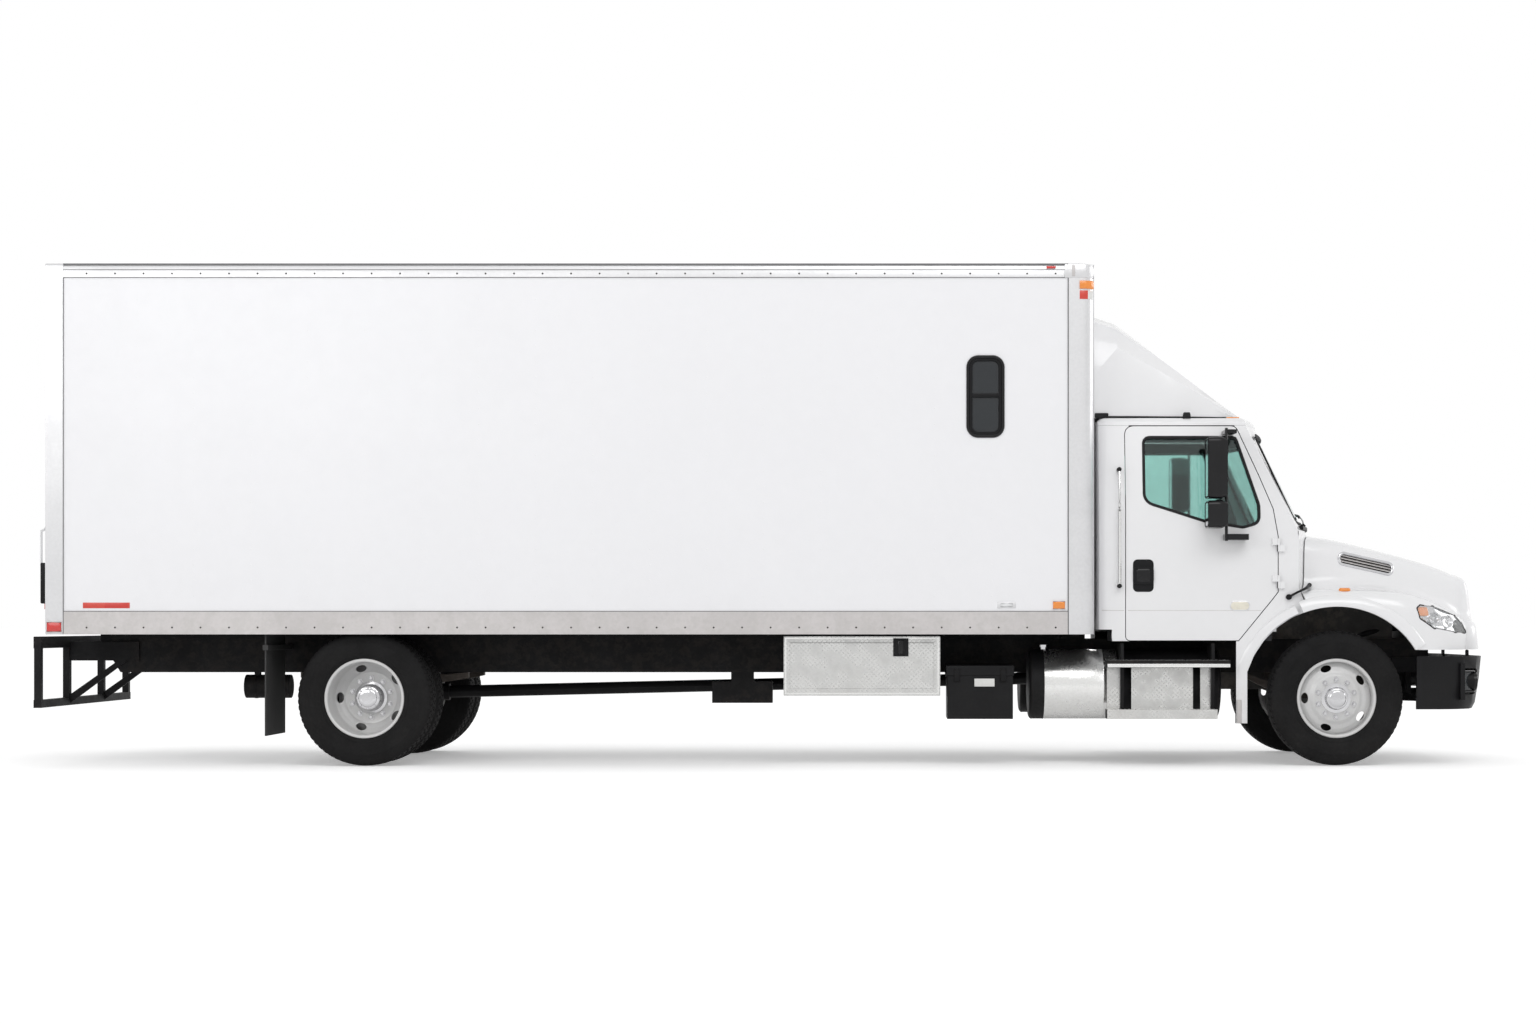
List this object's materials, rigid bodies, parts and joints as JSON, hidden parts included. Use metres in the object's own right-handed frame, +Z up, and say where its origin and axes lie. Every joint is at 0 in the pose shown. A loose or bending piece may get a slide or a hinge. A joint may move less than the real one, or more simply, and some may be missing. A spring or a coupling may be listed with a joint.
{
  "type": "box truck",
  "caption": "Two-axle straight truck with a conventional tilting-hood cab, a roof fairing and a tall van body with a slatted roll-up rear door.",
  "frame": {"origin": "on the ground, below the middle of the bounding box", "axes": "+X toward the nose, +Y toward the truck's left side, +Z up"},
  "size_m": [11.098, 2.75, 3.8],
  "materials": {
    "white_paint": "gloss",
    "black_paint": "satin",
    "bumper_black": "satin",
    "bare_steel": "satin",
    "rim_paint": "satin",
    "aluminium": "satin",
    "tyre": "matte",
    "flap_rubber": "matte",
    "glass": "gloss",
    "lamp": "gloss",
    "interior": "matte",
    "seat_cloth": "matte",
    "deck_wood": "matte"
  },
  "bodies": {
    "chassis": {"chassis_frame": "black_paint", "front_axle": "black_paint", "rear_axle": "black_paint", "drive_shaft": "bare_steel", "engine": "bare_steel", "radiator": "black_paint", "bumper": "bumper_black", "box_floor": "deck_wood", "box_side_right": "white_paint", "box_side_left": "white_paint", "box_window": "glass", "box_front": "white_paint", "box_roof": "white_paint", "box_rear_frame": "white_paint", "box_rear_door": "white_paint", "cab_floor": "interior", "cab_rear": "white_paint", "cab_front": "white_paint", "windscreen": "glass", "cab_roof": "white_paint", "dashboard": "interior", "driver_seat": "seat_cloth", "passenger_seat": "seat_cloth", "roof_fairing": "white_paint", "fuel_tank_right": "aluminium", "fuel_tank_left": "aluminium", "step_right": "aluminium", "step_left": "aluminium", "mud_flap_right": "flap_rubber", "mud_flap_left": "flap_rubber", "battery_box": "black_paint", "toolbox": "aluminium", "air_tank": "black_paint", "rear_guard": "black_paint"},
    "tilt_hood": {"hood": "white_paint", "grille": "black_paint", "headlamp_right": "lamp", "headlamp_left": "lamp"},
    "right_door": {"door_right": "white_paint", "door_glass_right": "glass", "mirror_right": "black_paint"},
    "left_door": {"door_left": "white_paint", "door_glass_left": "glass", "mirror_left": "black_paint"},
    "right_knuckle": {"knuckle_right": "bare_steel"},
    "left_knuckle": {"knuckle_left": "bare_steel"},
    "steering_rod": {"tie_rod": "bare_steel"},
    "front_wheel_right": {"front_tyre_right": "tyre", "front_rim_right": "rim_paint"},
    "front_wheel_left": {"front_tyre_left": "tyre", "front_rim_left": "rim_paint"},
    "rear_wheels_right": {"rear_tyre_outer_right": "tyre", "rear_tyre_inner_right": "tyre", "rear_rim_right": "rim_paint"},
    "rear_wheels_left": {"rear_tyre_outer_left": "tyre", "rear_tyre_inner_left": "tyre", "rear_rim_left": "rim_paint"},
    "tool_locker_door": {"toolbox_door": "aluminium"}
  },
  "joints": [
    {"name": "hood_tilt", "type": "hinge", "parent": "chassis", "child": "tilt_hood", "pos_m": [5.503, 0, 0.866], "axis": [0, 1, 0], "range_deg": [0, 70]},
    {"name": "door_right_hinge", "type": "hinge", "parent": "chassis", "child": "right_door", "pos_m": [3.921, -1.102, 1.4], "axis": [0, 0, 1], "range_deg": [0, 65]},
    {"name": "door_left_hinge", "type": "hinge", "parent": "chassis", "child": "left_door", "pos_m": [3.921, 1.102, 1.4], "axis": [0, 0, -1], "range_deg": [0, 65]},
    {"name": "steer_right", "type": "hinge", "parent": "chassis", "child": "right_knuckle", "pos_m": [4.355, -0.86, 0.5136], "axis": [0, 0, 1], "range_deg": [-38, 38]},
    {"name": "steer_left", "type": "hinge", "parent": "chassis", "child": "left_knuckle", "pos_m": [4.355, 0.86, 0.5136], "axis": [0, 0, 1], "range_deg": [-38, 38]},
    {"name": "steering_rod_eye", "type": "hinge", "parent": "right_knuckle", "child": "steering_rod", "pos_m": [4.155, -0.86, 0.407], "axis": [0, 0, 1], "range_deg": [-38, 38]},
    {"name": "front_wheel_right_spin", "type": "hinge", "parent": "right_knuckle", "child": "front_wheel_right", "pos_m": [4.355, -1.025, 0.51357], "axis": [0, 1, 0], "continuous": true},
    {"name": "front_wheel_left_spin", "type": "hinge", "parent": "left_knuckle", "child": "front_wheel_left", "pos_m": [4.355, 1.025, 0.51357], "axis": [0, 1, 0], "continuous": true},
    {"name": "rear_wheels_right_spin", "type": "hinge", "parent": "chassis", "child": "rear_wheels_right", "pos_m": [-3.023, -0.9225, 0.51357], "axis": [0, 1, 0], "continuous": true},
    {"name": "rear_wheels_left_spin", "type": "hinge", "parent": "chassis", "child": "rear_wheels_left", "pos_m": [-3.023, 0.9225, 0.51357], "axis": [0, 1, 0], "continuous": true},
    {"name": "toolbox_door_hinge", "type": "hinge", "parent": "chassis", "child": "tool_locker_door", "pos_m": [0.7475, -1.1808, 0.538], "axis": [1, 0, 0], "range_deg": [0, 90]}
  ],
  "couplings": [
    {"joint": "steer_left", "follows": "steer_right", "ratio": 1},
    {"joint": "steering_rod_eye", "follows": "steer_right", "ratio": -1}
  ]
}
